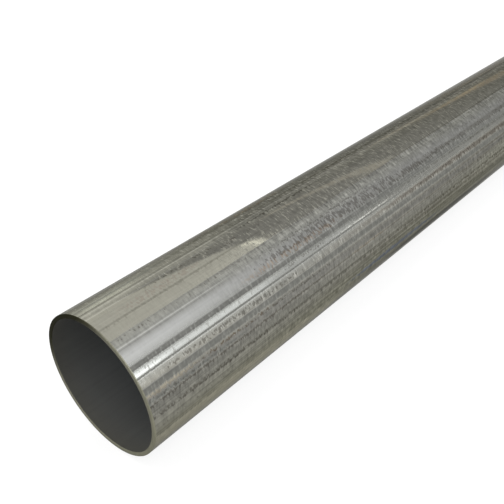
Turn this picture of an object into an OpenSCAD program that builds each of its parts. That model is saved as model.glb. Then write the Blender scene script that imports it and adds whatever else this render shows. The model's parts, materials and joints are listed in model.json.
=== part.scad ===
// Round steel tube, a piece of cut stock: one cold-rolled strip, formed and welded into a round tube,
// sawn to length and deburred. It lies along X on the floor, with the origin under its middle.

/* [Tube] */
// Outer diameter of the tube
outer_d = 50; // [20:0.5:120]
// Thickness of the wall
wall = 1.5; // [1:0.1:4]
// Length that the tube is sawn to
length = 1000; // [250:10:6000]

/* [Sawn ends] */
// Width of the edge break around the outside of each end
outer_edge_break = 0.2; // [0.05:0.05:0.4]
// Width of the edge break around the bore at each end
bore_edge_break = 0.2; // [0.05:0.05:0.4]

/* [Hidden] */

outer_r = outer_d / 2;
bore_r = outer_r - wall;
end_x = length / 2;
round_sides = 128;

// Half of a lengthwise section through the wall, as [radius, place along the tube]:
// a long strip as thick as the wall, with its four corners broken at 45 degrees.
module wall_section() {
    polygon([
        [bore_r, -end_x + bore_edge_break],
        [bore_r + bore_edge_break, -end_x],
        [outer_r - outer_edge_break, -end_x],
        [outer_r, -end_x + outer_edge_break],
        [outer_r, end_x - outer_edge_break],
        [outer_r - outer_edge_break, end_x],
        [bore_r + bore_edge_break, end_x],
        [bore_r, end_x - bore_edge_break]
    ]);
}

// The section turned about the tube's axis, then laid down along X so that it rests on the floor.
module tube() {
    color("#7d7c76")
        translate([0, 0, outer_r])
            rotate([90, 0, 90])
                rotate_extrude($fn = round_sides)
                    wall_section();
}

tube();
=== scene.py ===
import json
import math

import bpy
import numpy as np
from mathutils import Matrix, Vector


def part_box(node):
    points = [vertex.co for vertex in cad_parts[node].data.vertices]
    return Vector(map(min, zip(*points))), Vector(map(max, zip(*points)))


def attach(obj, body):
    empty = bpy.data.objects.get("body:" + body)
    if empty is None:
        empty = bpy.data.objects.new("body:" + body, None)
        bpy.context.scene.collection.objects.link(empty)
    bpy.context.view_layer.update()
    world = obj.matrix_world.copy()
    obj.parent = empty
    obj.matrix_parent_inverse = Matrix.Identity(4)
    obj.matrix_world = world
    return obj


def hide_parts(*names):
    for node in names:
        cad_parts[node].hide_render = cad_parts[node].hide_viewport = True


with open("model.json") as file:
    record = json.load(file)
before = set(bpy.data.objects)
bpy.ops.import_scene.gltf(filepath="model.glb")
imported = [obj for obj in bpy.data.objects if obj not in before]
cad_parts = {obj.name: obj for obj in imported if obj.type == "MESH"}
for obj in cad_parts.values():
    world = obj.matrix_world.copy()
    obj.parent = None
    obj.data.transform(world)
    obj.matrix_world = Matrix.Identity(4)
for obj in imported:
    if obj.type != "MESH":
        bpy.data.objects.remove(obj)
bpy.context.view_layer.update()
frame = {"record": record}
scene = bpy.context.scene

# The tube: one cold-rolled steel strip, formed round and welded, then sawn square and deburred.
# Its wall is one closed skin: the outside, the bore and the two sawn ends, with their corners filed round.
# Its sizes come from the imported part, whose single node it stands for.
MM = 0.001
tube_low, tube_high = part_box("tube")
mounts = {mount["name"]: mount for mount in frame["record"]["mounts"]}
NEAR_X, FAR_X = tube_low.x, tube_high.x
AXIS_Z = mounts["outer_wall"]["pos_m"][2]
OUTER_R = mounts["outer_wall"]["dims"]["r_mm"] * MM
BORE_R = mounts["near_end_bore"]["dims"]["r_mm"] * MM
CORNER_R = 0.2 * MM
SIDES = 256
OUTSIDE_RINGS, BORE_RINGS, CORNER_STEPS = 80, 40, 4
# The finishes, in the order in which the skin is given their materials.
OUTSIDE, BORE, SAWN = 0, 1, 2


def wall_section():
    """The closed outline of the wall cut lengthwise: places along the tube, radii and the finish of each
    stretch. It runs along the outside to the far end, over that end, back along the bore and over the near
    end. Each corner is a quarter circle, x = corner + CORNER_R sin a and r = corner + CORNER_R cos a."""
    a = np.linspace(0, math.pi / 2, CORNER_STEPS + 1)
    sine, cosine = CORNER_R * np.sin(a), CORNER_R * np.cos(a)
    first, last = NEAR_X + 2 * CORNER_R, FAR_X - 2 * CORNER_R
    outside = np.linspace(first, last, OUTSIDE_RINGS)
    bore = np.linspace(last, first, BORE_RINGS)
    near, far = NEAR_X + CORNER_R, FAR_X - CORNER_R
    outer, inner = OUTER_R - CORNER_R, BORE_R + CORNER_R
    stretches = [
        (outside, np.full(OUTSIDE_RINGS, OUTER_R), OUTSIDE),
        (np.r_[far + sine, far + cosine], np.r_[outer + cosine, inner - sine], SAWN),
        (bore, np.full(BORE_RINGS, BORE_R), BORE),
        (np.r_[near - sine, near - cosine], np.r_[inner - cosine, outer + sine], SAWN),
    ]
    along, radius, finish = zip(*stretches)
    return np.concatenate(along), np.concatenate(radius), np.repeat(finish, [len(x) for x in along])


def turned_skin(along, radius):
    """The outline turned about the tube's axis: at angle t from the top towards the viewer's side, a point
    of it lies at (along, -radius sin t, AXIS_Z + radius cos t). Gives the points, and the quads between one
    ring and the next."""
    t = np.linspace(0, 2 * math.pi, SIDES, endpoint=False)
    x = np.repeat(along[:, None], SIDES, axis=1)
    points = np.stack([x, -radius[:, None] * np.sin(t), AXIS_Z + radius[:, None] * np.cos(t)], axis=-1)
    ring, side = np.meshgrid(np.arange(len(along)), np.arange(SIDES), indexing="ij")
    ring_after, side_after = (ring + 1) % len(along), (side + 1) % SIDES
    quads = [
        ring * SIDES + side,
        ring * SIDES + side_after,
        ring_after * SIDES + side_after,
        ring_after * SIDES + side,
    ]
    return points.reshape(-1, 3), np.stack(quads, axis=-1).reshape(-1, 4)


section_along, section_radius, section_finish = wall_section()
skin_points, skin_quads = turned_skin(section_along, section_radius)
skin = bpy.data.meshes.new("steel_tube")
skin.from_pydata(skin_points, [], skin_quads)
skin.polygons.foreach_set("use_smooth", np.ones(len(skin_quads), dtype=bool))
steel_tube = bpy.data.objects.new("steel_tube", skin)
scene.collection.objects.link(steel_tube)


# The outside: cold-rolled steel with its mill finish, a thin grey oxide film that the forming rolls pressed
# into bands along the tube. Hairs from handling run across them, and specks of burnt-in oil sit in rows.
# To the eye it is a slightly warm grey metal, a mirror on some bands and hazy or dull on others.
def linear(hex_colour):
    """An sRGB hex colour as linear red, green, blue and alpha, by the sRGB transfer curve."""
    channels = np.array([int(hex_colour[i : i + 2], 16) for i in (1, 3, 5)]) / 255
    curve = np.where(channels <= 0.04045, channels / 12.92, ((channels + 0.055) / 1.055) ** 2.4)
    return (*curve.tolist(), 1.0)


def empty_material(name):
    """A new material with no nodes yet."""
    made = bpy.data.materials.new(name)
    made.use_nodes = True
    made.node_tree.nodes.clear()
    return made


def add(tree, kind, inputs=None, **settings):
    """Adds a node with its settings, and sets each input to a value or links it to a socket. Inputs go by
    name or, where a node repeats a name, by number. In a Map Range node, 1 and 2 are the range read, and
    3 and 4 the range given. In a Mix node, 0 is the share of the second value, and the two values are
    2 and 3, or 6 and 7 for colours."""
    made = tree.nodes.new(kind)
    for name, value in settings.items():
        setattr(made, name, value)
    for key, value in (inputs or {}).items():
        if isinstance(value, bpy.types.NodeSocket):
            tree.links.new(value, made.inputs[key])
        else:
            made.inputs[key].default_value = value
    return made


def set_stops(ramp, stops):
    """Gives a colour ramp its stops, each a place and a colour. The first stands at 0 and the last at 1."""
    ramp.elements[0].color = stops[0][1]
    ramp.elements[1].color = stops[-1][1]
    for at, colour in stops[1:-1]:
        ramp.elements.new(at).color = colour


PATCH_CORE = 0.6


def patch(tree, sheet, start_mm, end_mm, degrees, half_width):
    """A soft oval on the unrolled outside: 1 up to PATCH_CORE of the way from its middle to its edge, then
    falling smoothly to 0 there. That share of the way is the length of (place - middle) / half size, worked
    out by one multiply and add, because a material has no room for this many Mapping nodes."""
    half_long = (end_mm - start_mm) / 2 * MM
    half_wide = math.radians(half_width)
    scale = (1 / half_long, 1 / half_wide, 0)
    shift = (-(start_mm * MM + half_long) / half_long, -math.radians(degrees) / half_wide, 0)
    moved = add(tree, "ShaderNodeVectorMath", {0: sheet, 1: scale, 2: shift}, operation="MULTIPLY_ADD")
    reach = add(tree, "ShaderNodeVectorMath", {0: moved.outputs[0]}, operation="LENGTH")
    oval = add(
        tree, "ShaderNodeMapRange", {0: reach.outputs["Value"], 1: PATCH_CORE, 2: 1.0, 3: 1.0, 4: 0.0},
        interpolation_type="SMOOTHSTEP",
    )
    return oval.outputs[0]


# Tone of the bands by angle in degrees, from the top towards the viewer's side. It covers the half turn
# that the viewer sees, and the other half mirrors it.
BANDS_FROM, BANDS_TO = -50, 130
TONE = [
    # Behind the crown.
    (-50, "#787771"), (-40, "#6d6c63"), (-30, "#706f66"), (-24, "#6b6a61"), (-18, "#77766f"),
    (-14.5, "#77766e"), (-10, "#7b7a72"), (-4, "#7d7c74"),
    # The polished band on the crown.
    (-2, "#76756d"), (2, "#72716a"), (20.5, "#75746d"),
    # The hazy bands beside it.
    (21.1, "#777772"), (24, "#7a7a75"), (27.2, "#7c7c77"), (34, "#868683"), (41.2, "#80807c"),
    # Narrow bands, dull and bright by turns.
    (42.0, "#747470"), (45.0, "#747470"), (45.7, "#7e7e79"), (49.9, "#83837e"), (50.5, "#797974"),
    (51.2, "#797974"), (51.9, "#93938d"), (57.6, "#8b8a83"), (58.8, "#797974"), (62.6, "#797974"),
    (63.6, "#84837c"), (67.3, "#787772"),
    # The lower front and underneath.
    (75, "#7c7b74"), (82, "#7a7971"), (96, "#78776c"), (130, "#787771"),
]
# Gloss of the bands by angle: roughness, strength of the hairs near the end, strength of the streaks, and
# how much the hairs gain further along.
GLOSS = [
    # Behind the crown.
    (-50, 0.30, 0.12, 0.8, 0.6), (-40, 0.30, 0.05, 0.6, 1.5), (-20, 0.17, 0.12, 1.7, 1.2),
    (-8, 0.13, 0.10, 1.5, 1.9),
    # The polished band on the crown.
    (-3, 0.07, 0.05, 0.3, 4.0), (20.5, 0.06, 0.05, 0.2, 3.6),
    # The hazy bands beside it.
    (21.1, 0.42, 0.17, 0.6, 1.3), (27.4, 0.40, 0.17, 0.6, 1.3), (27.8, 0.40, 0.06, 0.3, 1.0),
    (28.6, 0.40, 0.06, 0.3, 1.0), (29.2, 0.40, 0.13, 0.3, 1.0), (31, 0.30, 0.03, 0.2, 5.5),
    (41.2, 0.27, 0.04, 0.2, 4.5),
    # Narrow bands, dull and bright by turns.
    (42.0, 0.75, 0.14, 0.6, 0.5), (45.0, 0.75, 0.14, 0.6, 0.5), (45.7, 0.15, 0.07, 0.6, 1.6),
    (47.8, 0.15, 0.07, 0.6, 1.6), (48.5, 0.10, 0.03, 0.8, 0.3), (50.0, 0.10, 0.03, 0.8, 0.3),
    (50.4, 0.60, 0.10, 0.4, 0.5), (51.3, 0.60, 0.10, 0.4, 0.5), (51.8, 0.20, 0.10, 0.8, 0.8),
    (57.8, 0.22, 0.14, 0.9, 0.5), (58.8, 0.75, 0.14, 0.6, 0.4), (62.6, 0.75, 0.14, 0.6, 0.4),
    (63.5, 0.20, 0.15, 0.8, 0.4), (66.4, 0.22, 0.15, 1.0, 0.3), (67.3, 0.45, 0.27, 0.5, 0.1),
    # The lower front and underneath.
    (70.2, 0.26, 0.22, 0.8, 0.2), (88, 0.28, 0.20, 1.2, 0.5), (104, 0.30, 0.09, 1.5, 2.0),
    (130, 0.32, 0.15, 0.9, 0.6),
]
# Rows of specks: start and end along the tube in mm, angle and half width in degrees, thickness.
SPECK_ROWS = [
    # On the crown and behind it.
    (60, 300, -25, 2.0, 0.6), (34, 300, -17, 3.2, 0.65), (36, 420, -14.2, 2.0, 1.1),
    (60, 112, -4.4, 1.4, 1.5), (14, 62, -1.0, 1.6, 0.7), (38, 80, 3.5, 2.2, 0.8),
    # On the upper front.
    (-10, 70, 22.8, 1.8, 0.65), (110, 520, 24.5, 3.2, 0.6), (46, 140, 28.8, 0.9, 1.35),
    (110, 520, 31.5, 3.0, 0.55), (42, 160, 34.6, 4.8, 1.15), (80, 200, 37.5, 4.4, 1.0),
    (95, 420, 38.4, 3.4, 0.75), (92, 420, 46.8, 0.8, 0.85), (56, 98, 47.2, 1.0, 1.0),
    (95, 420, 54.8, 2.2, 0.85), (-2, 82, 55.2, 2.3, 1.15),
    # On the lower front.
    (100, 420, 65, 0.9, 0.85), (4, 100, 65.2, 1.2, 1.25), (-40, 50, 68.4, 1.3, 0.9),
    (100, 420, 71.5, 0.9, 0.85), (-50, 100, 71.7, 1.5, 1.35), (-50, 90, 80.7, 1.8, 1.15),
    (90, 420, 80.8, 1.5, 1.15), (95, 420, 85.8, 1.0, 0.95), (95, 420, 90.7, 1.2, 0.9),
    (-40, 60, 91, 1.2, 0.65),
    # Further along.
    (400, 1040, -14.2, 2.2, 1.0), (400, 1040, 38.4, 3.6, 0.8), (400, 1040, 54.8, 2.3, 0.9),
    (400, 1040, 80.8, 1.6, 1.1),
    # On the back and underneath.
    (100, 700, -62, 3.2, 0.85), (-40, 1040, -84, 1.6, 1.05), (350, 1040, -118, 2.4, 0.9),
    (-40, 620, -150, 1.4, 1.0), (200, 900, 128, 2.2, 0.9), (-40, 1040, 150, 1.6, 1.0),
]
# Straight rolled lines, and pale painted highlights near the end: start and end along the tube in mm, angle
# and half width in degrees, colour and strength. Each lies over those before it, and the stains lie over
# the lines.
LINES_AND_PAINTED_HIGHLIGHTS = [
    # The pale lines at 28.2 and 52 degrees, which reach only a little way from the near end, are painted
    # highlights.
    (-30, 54, 28.2, 0.6, "#a8a8a4", 0.5), (-30, 54, 29.7, 0.6, "#62625f", 0.4),
    (-30, 84, 10.5, 1.1, "#5a5952", 0.4), (-30, 300, 21.6, 0.6, "#666663", 0.4),
    (-30, 110, 26.7, 0.6, "#666663", 0.4), (-30, 150, 50.8, 0.5, "#565654", 0.35),
    (-30, 150, 52.0, 0.5, "#a4a4a0", 0.4), (-30, 30, -11.5, 0.8, "#5a5951", 0.4),
    (-30, 65, -5.6, 0.6, "#5a5951", 0.4), (-30, 440, 71.7, 0.7, "#5a554b", 0.5),
    (50, 440, 65.0, 0.7, "#5f5951", 0.4), (-30, 180, -9.0, 1.2, "#8a8981", 0.5),
    (-60, 105, 71.7, 0.6, "#48443c", 0.25), (-30, 46, -20, 3.4, "#5c5e5b", 0.65),
    (-30, 70, -3.7, 0.7, "#92918a", 0.5), (-30, 60, -20, 0.9, "#605f57", 0.35),
    (-30, 90, 96, 0.7, "#625f52", 0.5), (-30, 90, 101, 0.8, "#8e8c7c", 0.5),
    (-30, 90, 104, 0.8, "#68665a", 0.5), (90, 440, 19.8, 0.6, "#56554f", 0.5),
    (90, 440, -22, 1.0, "#4f4b40", 0.5), (190, 440, -4.8, 0.9, "#54534c", 0.5),
]
# Stains, and painted reflections on the lower front, given in the same way.
STAINS_AND_PAINTED_REFLECTIONS = [
    # On the half that the viewer sees, over the first half of the tube.
    (150, 480, 82, 16, "#908f85", 0.85), (130, 480, 24.5, 4, "#83837d", 0.6),
    (150, 480, 60.7, 2.2, "#84847e", 0.6), (110, 480, 43.5, 1.8, "#7c7c78", 0.6),
    # The blue-grey mark at 97.6 degrees and the dark one at 109 are painted shade: the lower front
    # mirroring dark surroundings further along. The pale one at 107 degrees near the end is a painted
    # reflection of bright surroundings.
    (84, 330, 88.3, 2.6, "#939287", 0.6), (90, 172, 97.6, 3.0, "#4c566c", 0.6),
    (116, 236, 109, 7.0, "#3a3a34", 0.85), (18, 105, -30, 6.0, "#6f6656", 0.4),
    (-70, 118, 107, 10, "#9c998a", 0.85), (50, 440, 85.7, 1.1, "#5f584c", 0.4),
    (-12, 24, 65, 1.4, "#9c927e", 0.4), (54, 122, -4.4, 1.4, "#4a4a45", 0.4),
    (56, 300, -9.2, 2.6, "#817f79", 0.4), (-40, 48, 69, 1.5, "#696b67", 0.6),
    (96, 124, 71.5, 1.0, "#867d6e", 0.35), (-50, 60, -26, 9, "#8f8e85", 0.7),
    (105, 420, 38.4, 2.8, "#686762", 0.5), (70, 420, 55.0, 3.0, "#68625a", 0.65),
    (-60, 440, 80.9, 1.4, "#57554d", 0.5), (40, 440, 90.6, 1.5, "#5c5a50", 0.35),
    (170, 420, -21, 9, "#6e6654", 0.6), (100, 480, -27, 6, "#625c49", 0.45),
    # Further along, and on the back.
    (420, 600, 105, 5, "#45453f", 0.7), (560, 650, 20, 6, "#6a6458", 0.5),
    (700, 900, 62, 5, "#8b8a80", 0.5), (640, 860, 112, 6, "#45443d", 0.7),
    (120, 300, -135, 6, "#4c4a42", 0.5), (520, 760, -100, 8, "#8f8d80", 0.5),
    (820, 960, -60, 5, "#5a564a", 0.5),
]
# Stains broken up into flecks, given in the same way.
FLECKED_STAINS = [
    (44, 108, 38, 3.2, "#7e6d5b", 0.55), (60, 105, -24, 3.0, "#6e5f4a", 0.6),
    (18, 60, 65.2, 1.0, "#7e6c58", 0.6), (-20, 62, 10.5, 1.6, "#56554e", 0.5),
    (4, 46, 5, 4.5, "#6a645d", 0.6),
]

mill_finish = empty_material("mill_finish_steel")
tree = mill_finish.node_tree

# Where a point lies on the outside: its distance from the near end, and its angle from the top.
place = add(tree, "ShaderNodeTexCoord").outputs["Object"]
axes = add(tree, "ShaderNodeSeparateXYZ", {"Vector": place}).outputs
from_end = add(tree, "ShaderNodeMath", {0: axes["X"], 1: NEAR_X}, operation="SUBTRACT").outputs[0]
aside = add(tree, "ShaderNodeMath", {0: axes["Y"], 1: -1.0}, operation="MULTIPLY").outputs[0]
above = add(tree, "ShaderNodeMath", {0: axes["Z"], 1: AXIS_Z}, operation="SUBTRACT").outputs[0]
angle = add(tree, "ShaderNodeMath", {0: aside, 1: above}, operation="ARCTAN2").outputs[0]

# Grain of the finish: size along the tube and around it in mm, slant (mm along per mm around) and detail.
# The rolls' finest lines are thinner than a pixel, so the streaks are drawn as wide as they need to show.
HAIRS = (0.75, 2.2, 0.12, 2.5)
SPECKS = (0.75, 1.8, -0.05, 1.5)
FINE_STREAKS = (110, 0.6, 0, 2.0)
STREAKS = (220, 1.8, 0, 2.0)
BLOTCHES = (1.7, 3.6, -0.2, 1.5)
grains = []
for along_mm, around_mm, slant, detail in (HAIRS, SPECKS, FINE_STREAKS, STREAKS, BLOTCHES):
    leaning = add(
        tree, "ShaderNodeMath", {0: angle, 1: slant * OUTER_R, 2: axes["X"]}, operation="MULTIPLY_ADD"
    )
    spot = add(tree, "ShaderNodeCombineXYZ", {"X": leaning.outputs[0], "Y": axes["Y"], "Z": above})
    per_metre = (1 / (along_mm * MM), 1 / (around_mm * MM), 1 / (around_mm * MM))
    stretched = add(tree, "ShaderNodeVectorMath", {0: spot.outputs[0], 1: per_metre}, operation="MULTIPLY")
    noise = add(
        tree, "ShaderNodeTexNoise", {"Vector": stretched.outputs[0], "Scale": 1.0, "Detail": detail}
    )
    grains.append(noise.outputs[0])
hairs, specks, fine_streaks, streaks, blotches = grains

# Each grain as a swing about 0, over the range that noise mostly keeps to. The jags shift the edges of the
# bands, and of the stains and rows. The others lighten and darken the tone.
NOISE_LOW, NOISE_HIGH = 0.3, 0.7
BAND_JAG, STAIN_JAG = math.radians(0.35), math.radians(1.4)
HAIR_SWING, FINE_STREAK_SWING, STREAK_SWING, BLOTCH_SWING = 1.0, 0.2, 0.13, 0.5
swings = []
for grain, size in (
    (hairs, BAND_JAG), (hairs, STAIN_JAG), (hairs, HAIR_SWING),
    (fine_streaks, FINE_STREAK_SWING), (streaks, STREAK_SWING), (blotches, BLOTCH_SWING),
):
    swung = add(
        tree, "ShaderNodeMapRange", {0: grain, 1: NOISE_LOW, 2: NOISE_HIGH, 3: -size, 4: size}, clamp=False
    )
    swings.append(swung.outputs[0])
band_jag, stain_jag, hair_swing, fine_streak_swing, streak_swing, blotch_swing = swings

# The bands. The gloss ramp holds the four columns of GLOSS as its red, green, blue and alpha.
jagged = add(tree, "ShaderNodeMath", {0: angle, 1: band_jag}, operation="ADD")
half_turns = add(
    tree, "ShaderNodeMapRange",
    {0: jagged.outputs[0], 1: math.radians(BANDS_FROM), 2: math.radians(BANDS_TO)},
    clamp=False,
)
across_bands = add(tree, "ShaderNodeMath", {0: half_turns.outputs[0], 1: 1.0}, operation="PINGPONG")
tone = add(tree, "ShaderNodeValToRGB", {"Fac": across_bands.outputs[0]})
gloss = add(tree, "ShaderNodeValToRGB", {"Fac": across_bands.outputs[0]})
bands_wide = BANDS_TO - BANDS_FROM
set_stops(tone.color_ramp, [((at - BANDS_FROM) / bands_wide, linear(colour)) for at, colour in TONE])
set_stops(gloss.color_ramp, [((at - BANDS_FROM) / bands_wide, values) for at, *values in GLOSS])
columns = add(tree, "ShaderNodeSeparateColor", {"Color": gloss.outputs["Color"]}).outputs
band_roughness, hair_strength, streak_strength = columns["Red"], columns["Green"], columns["Blue"]
hair_gain = gloss.outputs["Alpha"]

# The unrolled outside, on which rolled lines have straight edges, and stains and rows of specks have
# frayed ones.
frayed = add(tree, "ShaderNodeMath", {0: angle, 1: stain_jag}, operation="ADD")
frayed_sheet = add(tree, "ShaderNodeCombineXYZ", {"X": from_end, "Y": frayed.outputs[0]}).outputs[0]
ruled_sheet = add(tree, "ShaderNodeCombineXYZ", {"X": from_end, "Y": angle}).outputs[0]

# The specks show where their noise passes a level, which is lower where a row is thicker. Blotches gather
# them into clumps.
CLUMP_LOW, CLUMP_HIGH = 0.35, 0.6
CLUMP_LEAST, CLUMP_MOST = 0.6, 1.1
LEVEL_OFF_ROWS, LEVEL_ON_ROWS, SPECK_EDGE = 0.78, 0.42, 0.08
thickness = 0.0
for start_mm, end_mm, degrees, half_width, thick in SPECK_ROWS:
    oval = patch(tree, frayed_sheet, start_mm, end_mm, degrees, half_width)
    row = add(tree, "ShaderNodeMath", {0: oval, 1: thick}, operation="MULTIPLY")
    thicker = add(tree, "ShaderNodeMath", {0: row.outputs[0], 1: thickness}, operation="MAXIMUM")
    thickness = thicker.outputs[0]
clumps = add(
    tree, "ShaderNodeMapRange", {0: blotches, 1: CLUMP_LOW, 2: CLUMP_HIGH, 3: CLUMP_LEAST, 4: CLUMP_MOST}
)
clumped = add(tree, "ShaderNodeMath", {0: thickness, 1: clumps.outputs[0]}, operation="MULTIPLY")
level = add(
    tree, "ShaderNodeMapRange", {0: clumped.outputs[0], 1: 0.0, 2: 1.0, 3: LEVEL_OFF_ROWS, 4: LEVEL_ON_ROWS}
)
full_level = add(tree, "ShaderNodeMath", {0: level.outputs[0], 1: SPECK_EDGE}, operation="ADD")
speck = add(
    tree, "ShaderNodeMapRange", {0: specks, 1: level.outputs[0], 2: full_level.outputs[0]},
    interpolation_type="SMOOTHSTEP",
)

# The shade that streaks, hairs and blotches give. Hairs and blotches gain strength between two distances
# from the near end.
GAIN_FROM, GAIN_TO = 22 * MM, 90 * MM
drawn = add(tree, "ShaderNodeMath", {0: fine_streak_swing, 1: streak_swing}, operation="ADD")
streaked = add(
    tree, "ShaderNodeMath", {0: drawn.outputs[0], 1: streak_strength, 2: 1.0}, operation="MULTIPLY_ADD"
)
worn = add(tree, "ShaderNodeMapRange", {0: from_end, 1: GAIN_FROM, 2: GAIN_TO})
gain = add(tree, "ShaderNodeMath", {0: worn.outputs[0], 1: hair_gain, 2: 1.0}, operation="MULTIPLY_ADD")
marked_by = add(tree, "ShaderNodeMath", {0: hair_strength, 1: gain.outputs[0]}, operation="MULTIPLY")
marking = marked_by.outputs[0]
haired = add(tree, "ShaderNodeMath", {0: hair_swing, 1: marking, 2: 1.0}, operation="MULTIPLY_ADD")
blotched = add(tree, "ShaderNodeMath", {0: blotch_swing, 1: marking, 2: 1.0}, operation="MULTIPLY_ADD")
combed = add(tree, "ShaderNodeMath", {0: streaked.outputs[0], 1: haired.outputs[0]}, operation="MULTIPLY")
shade = add(tree, "ShaderNodeMath", {0: combed.outputs[0], 1: blotched.outputs[0]}, operation="MULTIPLY")

# The colour: the bands' tone, the lines, stains, painted highlights and painted reflections laid over it,
# the shade, and the specks on top.
FLECK_LOW, FLECK_HIGH = 0.44, 0.58
SPECK_COLOUR, SPECK_COVER = linear("#3f3b35"), 0.52
fleck = add(
    tree, "ShaderNodeMapRange", {0: specks, 1: FLECK_LOW, 2: FLECK_HIGH}, interpolation_type="SMOOTHSTEP"
)
marks = [(ruled_sheet, 1.0, *line) for line in LINES_AND_PAINTED_HIGHLIGHTS]
marks += [(frayed_sheet, 1.0, *oval_mark) for oval_mark in STAINS_AND_PAINTED_REFLECTIONS]
marks += [(frayed_sheet, fleck.outputs[0], *oval_mark) for oval_mark in FLECKED_STAINS]
colour = tone.outputs["Color"]
for sheet, broken, start_mm, end_mm, degrees, half_width, mark_colour, strength in marks:
    oval = patch(tree, sheet, start_mm, end_mm, degrees, half_width)
    whole = add(tree, "ShaderNodeMath", {0: oval, 1: strength}, operation="MULTIPLY")
    cover = add(tree, "ShaderNodeMath", {0: whole.outputs[0], 1: broken}, operation="MULTIPLY")
    marked = add(
        tree, "ShaderNodeMix", {0: cover.outputs[0], 6: colour, 7: linear(mark_colour)}, data_type="RGBA"
    )
    colour = marked.outputs[2]
shaded = add(tree, "ShaderNodeVectorMath", {0: colour, "Scale": shade.outputs[0]}, operation="SCALE")
speck_cover = add(tree, "ShaderNodeMath", {0: speck.outputs[0], 1: SPECK_COVER}, operation="MULTIPLY")
specked = add(
    tree, "ShaderNodeMix", {0: speck_cover.outputs[0], 6: shaded.outputs[0], 7: SPECK_COLOUR},
    data_type="RGBA",
)

# The hairs are scratches too, with a roughness of their own that shows most where they are strong. They and
# the fine streaks give a slight relief.
SCRATCH_LOW, SCRATCH_HIGH, SCRATCH_ROUGHNESS = 0.55, 0.68, 0.5
FAINT_HAIR, STRONG_HAIR = 0.04, 0.2
FAINT_SCRATCH, STRONG_SCRATCH = 0.45, 0.9
RELIEF_DEPTH, HAIR_RELIEF = 0.006 * MM, 0.3
scratch = add(
    tree, "ShaderNodeMapRange", {0: hairs, 1: SCRATCH_LOW, 2: SCRATCH_HIGH}, interpolation_type="SMOOTHSTEP"
)
deep = add(
    tree, "ShaderNodeMapRange",
    {0: marking, 1: FAINT_HAIR, 2: STRONG_HAIR, 3: FAINT_SCRATCH, 4: STRONG_SCRATCH},
)
scratched = add(tree, "ShaderNodeMath", {0: scratch.outputs[0], 1: deep.outputs[0]}, operation="MULTIPLY")
roughness = add(
    tree, "ShaderNodeMix", {0: scratched.outputs[0], 2: band_roughness, 3: SCRATCH_ROUGHNESS},
    data_type="FLOAT",
)
relief = add(tree, "ShaderNodeMath", {0: hairs, 1: HAIR_RELIEF, 2: fine_streaks}, operation="MULTIPLY_ADD")
bump = add(tree, "ShaderNodeBump", {"Height": relief.outputs[0], "Distance": RELIEF_DEPTH, "Strength": 1.0})
steel_shader = add(
    tree,
    "ShaderNodeBsdfPrincipled",
    {
        "Base Color": specked.outputs[2],
        "Roughness": roughness.outputs[0],
        "Metallic": 1.0,
        "Specular Tint": linear("#aeaeab"),
        "Normal": bump.outputs[0],
    },
)
add(tree, "ShaderNodeOutputMaterial", {"Surface": steel_shader.outputs[0]})
skin.materials.append(mill_finish)

# The bore: the strip's inner face, never dressed after rolling, under dull mill scale. Faint lines of the
# rolling run along it, and it is darker at the mouths and lighter and bluer deeper in.
# To the eye it is a matt dark grey, with none of the outside's shine.
mill_scale = empty_material("mill_scale")
tree = mill_scale.node_tree
# Tone by depth from the nearer mouth in mm.
SCALE_TONE = [(0, "#4a4943"), (7, "#575856"), (20, "#5e6060"), (50, "#6d7074")]
# How far the rolled lines lighten and darken it, and the roughness between them.
SCALE_SWING = 0.07
SCALE_SMOOTHEST, SCALE_ROUGHEST = 0.55, 0.66
ROLL_LINE_LONG, ROLL_LINE_WIDE = 167 * MM, 1.43 * MM
bore_place = add(tree, "ShaderNodeTexCoord").outputs["Object"]
bore_axes = add(tree, "ShaderNodeSeparateXYZ", {"Vector": bore_place}).outputs
from_middle = add(tree, "ShaderNodeMath", {0: bore_axes["X"]}, operation="ABSOLUTE")
deepest = SCALE_TONE[-1][0]
depth = add(tree, "ShaderNodeMapRange", {0: from_middle.outputs[0], 1: FAR_X, 2: FAR_X - deepest * MM})
scale_tone = add(tree, "ShaderNodeValToRGB", {"Fac": depth.outputs[0]})
set_stops(scale_tone.color_ramp, [(at / deepest, linear(colour)) for at, colour in SCALE_TONE])
lines_per_metre = (1 / ROLL_LINE_LONG, 1 / ROLL_LINE_WIDE, 1 / ROLL_LINE_WIDE)
drawn_out = add(tree, "ShaderNodeVectorMath", {0: bore_place, 1: lines_per_metre}, operation="MULTIPLY")
rolled = add(tree, "ShaderNodeTexNoise", {"Vector": drawn_out.outputs[0], "Scale": 1.0, "Detail": 3.0})
scale_shade = add(
    tree, "ShaderNodeMapRange",
    {0: rolled.outputs[0], 1: NOISE_LOW, 2: NOISE_HIGH, 3: 1 - SCALE_SWING, 4: 1 + SCALE_SWING},
    clamp=False,
)
scale_colour = add(
    tree, "ShaderNodeVectorMath", {0: scale_tone.outputs[0], "Scale": scale_shade.outputs[0]},
    operation="SCALE",
)
scale_roughness = add(
    tree, "ShaderNodeMapRange",
    {0: rolled.outputs[0], 1: NOISE_LOW, 2: NOISE_HIGH, 3: SCALE_SMOOTHEST, 4: SCALE_ROUGHEST},
)
scale_shader = add(
    tree, "ShaderNodeBsdfPrincipled",
    {"Base Color": scale_colour.outputs[0], "Roughness": scale_roughness.outputs[0]},
)
add(tree, "ShaderNodeOutputMaterial", {"Surface": scale_shader.outputs[0]})
skin.materials.append(mill_scale)

# The sawn ends: bare steel as the saw left it, with the corners filed round. Painted shade darkens them to
# a dark olive towards the top of the back.
# To the eye it is a satin rim, with faint upright marks of the saw.
sawn_steel = empty_material("sawn_steel")
tree = sawn_steel.node_tree
# Tone by the share of the way from the lower front to the upper back: the steel's own colour, with painted
# shade darkening it towards the upper back.
SAWN_TONE = [
    (0, "#7b7a6a"), (0.5, "#777668"), (0.66, "#747365"), (0.75, "#67665a"), (0.85, "#3f3e32"),
    (0.92, "#29291e"), (1, "#27271c"),
]
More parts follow.
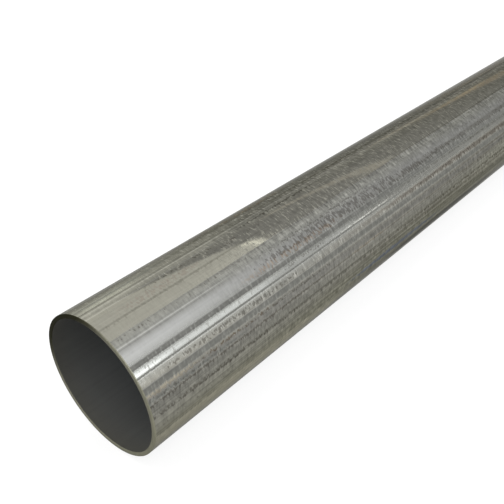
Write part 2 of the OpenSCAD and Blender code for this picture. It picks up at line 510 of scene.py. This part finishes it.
# How far the saw's marks lighten and darken it, and the roughness between them.
SAWN_SWING = 0.15
SAWN_SMOOTHEST, SAWN_ROUGHEST = 0.3, 0.45
# A saw's marks are thinner than a pixel, so these are drawn as wide as they need to show.
SAW_MARK_WIDE, SAW_MARK_LONG = 0.5 * MM, 8.33 * MM
# The marks are turned within the noise, which keeps its grid from showing along them.
NOISE_TURN = math.radians(35)
sawn_place = add(tree, "ShaderNodeTexCoord").outputs["Object"]
sawn_axes = add(tree, "ShaderNodeSeparateXYZ", {"Vector": sawn_place}).outputs
sawn_above = add(tree, "ShaderNodeMath", {0: sawn_axes["Z"], 1: AXIS_Z}, operation="SUBTRACT")
up_and_back = add(tree, "ShaderNodeMath", {0: sawn_axes["Y"], 1: sawn_above.outputs[0]}, operation="ADD")
furthest = math.sqrt(2) * OUTER_R
# How far a point lies along the rim's painted shade, from the lower front (0) to the upper back (1).
rim_shade_share = add(tree, "ShaderNodeMapRange", {0: up_and_back.outputs[0], 1: -furthest, 2: furthest})
sawn_tone = add(tree, "ShaderNodeValToRGB", {"Fac": rim_shade_share.outputs[0]})
set_stops(sawn_tone.color_ramp, [(at, linear(colour)) for at, colour in SAWN_TONE])
marks_per_metre = (0, 1 / SAW_MARK_WIDE, 1 / SAW_MARK_LONG)
sawn_across = add(
    tree, "ShaderNodeMapping",
    {"Vector": sawn_place, "Rotation": (NOISE_TURN, 0, 0), "Scale": marks_per_metre},
)
saw_marks = add(tree, "ShaderNodeTexNoise", {"Vector": sawn_across.outputs[0], "Scale": 1.0, "Detail": 2.0})
sawn_shade = add(
    tree, "ShaderNodeMapRange",
    {0: saw_marks.outputs[0], 1: NOISE_LOW, 2: NOISE_HIGH, 3: 1 - SAWN_SWING, 4: 1 + SAWN_SWING},
    clamp=False,
)
sawn_colour = add(
    tree, "ShaderNodeVectorMath", {0: sawn_tone.outputs[0], "Scale": sawn_shade.outputs[0]},
    operation="SCALE",
)
sawn_roughness = add(
    tree, "ShaderNodeMapRange",
    {0: saw_marks.outputs[0], 1: NOISE_LOW, 2: NOISE_HIGH, 3: SAWN_SMOOTHEST, 4: SAWN_ROUGHEST},
)
sawn_shader = add(
    tree,
    "ShaderNodeBsdfPrincipled",
    {
        "Base Color": sawn_colour.outputs[0],
        "Roughness": sawn_roughness.outputs[0],
        "Metallic": 1.0,
        "Specular Tint": linear("#b8b8b8"),
    },
)
add(tree, "ShaderNodeOutputMaterial", {"Surface": sawn_shader.outputs[0]})
skin.materials.append(sawn_steel)

# Each stretch of the skin gets its finish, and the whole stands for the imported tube.
skin.polygons.foreach_set("material_index", np.repeat(section_finish, SIDES).astype(np.int32))
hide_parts("tube")
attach(steel_tube, "root")


# The floor: a plain sheet of pale paper that the tube lies on, far larger than the view.
# To the eye it is matt and white: seen directly or mirrored it glows up to white, and keeps a soft shadow.
def shown_rays(tree):
    """1 for a ray from the camera, from a glossy surface or through glass, and 0 for any other."""
    rays = add(tree, "ShaderNodeLightPath").outputs
    seen = add(
        tree, "ShaderNodeMath", {0: rays["Is Camera Ray"], 1: rays["Is Glossy Ray"]}, operation="MAXIMUM"
    )
    shown = add(
        tree, "ShaderNodeMath", {0: seen.outputs[0], 1: rays["Is Transmission Ray"]},
        operation="MAXIMUM",
    )
    return shown.outputs[0]


FLOOR_HALF = 8.0
GLOW = 0.8
floor_corners = FLOOR_HALF * np.array([(-1, -1, 0), (1, -1, 0), (1, 1, 0), (-1, 1, 0)])
floor_mesh = bpy.data.meshes.new("floor")
floor_mesh.from_pydata(floor_corners, [], [(0, 1, 2, 3)])
floor = bpy.data.objects.new("floor", floor_mesh)
scene.collection.objects.link(floor)
paper = empty_material("pale_paper")
tree = paper.node_tree
glow = add(tree, "ShaderNodeMath", {0: shown_rays(tree), 1: GLOW}, operation="MULTIPLY")
matt = add(tree, "ShaderNodeBsdfDiffuse", {"Color": linear("#898989")})
lit = add(tree, "ShaderNodeEmission", {"Strength": glow.outputs[0]})
matt_and_lit = add(tree, "ShaderNodeAddShader", {0: matt.outputs[0], 1: lit.outputs[0]})
add(tree, "ShaderNodeOutputMaterial", {"Surface": matt_and_lit.outputs[0]})
floor_mesh.materials.append(paper)

# The light: a white room, with soft panels overhead, along both sides of the tube and before its mouth.
# The room shows and is mirrored as full white, and lights matt surfaces a little less.
ROOM_LIGHT, ROOM_SHOWN = 0.75, 1.0
world = bpy.data.worlds.new("white_room")
scene.world = world
world.use_nodes = True
tree = world.node_tree
tree.nodes.clear()
room_strength = add(tree, "ShaderNodeMapRange", {0: shown_rays(tree), 3: ROOM_LIGHT, 4: ROOM_SHOWN})
room = add(
    tree, "ShaderNodeBackground", {"Color": linear("#ffffff"), "Strength": room_strength.outputs[0]}
)
add(tree, "ShaderNodeOutputWorld", {"Surface": room.outputs[0]})

near_end = Vector((NEAR_X, 0, AXIS_Z))
# Each panel: its lean from overhead towards the viewer and its turn in its own plane, in degrees, its
# distance from the tube, where it starts and ends along the tube and across it, in metres from the near
# end, its radiance and its colour.
PANELS = {
    "overhead": (0, 0, 1.5, (-0.9, 1.29), (-0.15, 2.19), 1.0, "#fffef6"),
    "overhead_edge": (0, 0, 1.45, (1.215, 1.248), (-0.1, 0.5), 2.2, "#fffdf0"),
    "second_beam": (0, 3.0, 1.5, (1.87, 2.01), (-0.1, 1.5), 0.66, "#fff4e2"),
    "third_beam": (0, 0, 1.5, (3.62, 4.5), (0.7, 1.9), 0.7, "#ffdcb4"),
    "far_strip": (-54, -24, 1.5, (2.0, 3.0), (-0.07, 0.07), 0.5, "#ffe6c4"),
    "softbox": (30.5, 0, 1.5, (-0.3, 1.05), (-0.29, 0.29), 1.85, "#f8faff"),
    "strip_near": (56, 0, 1.5, (-0.3, 0.75), (-0.11, 0.11), 3.5, "#f4f8ff"),
    "strip_core": (57.5, 0, 1.45, (-0.3, 0.73), (-0.05, 0.05), 1.8, "#f4f8ff"),
    "strip_middle": (56, 0, 1.5, (0.75, 1.2), (-0.11, 0.11), 2.2, "#f4f8ff"),
    "strip_end": (56, 0, 1.5, (1.2, 1.65), (-0.11, 0.11), 0.8, "#f4f8ff"),
    "strip_tail": (59.5, 0, 1.45, (1.56, 1.82), (-0.014, 0.014), 5.0, "#ffffff"),
    "front_edge": (63.3, 0, 1.5, (-0.3, 1.2), (-0.05, 0.05), 1.0, "#ffffff"),
    "low_front": (77, 0, 1.5, (-0.3, 1.0), (-0.34, 0.34), 0.45, "#fffcf4"),
    "mouth_fill": (35, 0, 1.5, (-1.5, -0.4), (-0.3, 0.3), 2.1, "#ffffff"),
    "low_back": (-73.5, 0, 1.5, (-0.6, 1.2), (-0.47, 0.47), 0.4, "#fffffa"),
    "low_back_near": (-73.5, 0, 1.45, (-0.6, 0.8), (-0.46, 0.46), 0.38, "#fffffa"),
    "back_window": (-75.5, 0, 1.4, (0.6, 0.76), (-0.04, 0.04), 1.8, "#f6fff8"),
}
for name, (lean, turn, distance, (x_from, x_to), (y_from, y_to), radiance, hex_colour) in PANELS.items():
    lamp_data = bpy.data.lights.new(name, "AREA")
    lamp_data.shape = "RECTANGLE"
    lamp_data.size, lamp_data.size_y = x_to - x_from, y_to - y_from
    lamp_data.energy = radiance * math.pi * lamp_data.size * lamp_data.size_y
    lamp_data.color = linear(hex_colour)[:3]
    lamp = bpy.data.objects.new(name, lamp_data)
    middle = Vector(((x_from + x_to) / 2, (y_from + y_to) / 2, distance))
    leaned = Matrix.Translation(near_end) @ Matrix.Rotation(math.radians(lean), 4, "X")
    lamp.matrix_world = leaned @ Matrix.Translation(middle) @ Matrix.Rotation(math.radians(turn), 4, "Z")
    lamp.visible_camera = False
    scene.collection.objects.link(lamp)

# The camera: it stands where the photograph was taken from, in metres from the middle of the near end.
# Its place, direction and focal length fit the near end's circle and the tube's two edges.
FOCAL_PX, FRAME_PX = 671.44, 504
SENSOR_MM = 36.0
VIEWER_FROM_END = Vector((-0.07736, -0.12966, 0.14962))
VIEWER_LOOKS = Vector((0.61684, 0.54216, -0.57059))
camera_data = bpy.data.cameras.new("viewer")
camera_data.sensor_width = SENSOR_MM
camera_data.lens = SENSOR_MM * FOCAL_PX / FRAME_PX
camera_data.clip_start = 10 * MM
camera = bpy.data.objects.new("viewer", camera_data)
camera.location = near_end + VIEWER_FROM_END
camera.rotation_euler = VIEWER_LOOKS.to_track_quat("-Z", "Y").to_euler()
scene.collection.objects.link(camera)
scene.camera = camera
scene.view_settings.view_transform = "Standard"
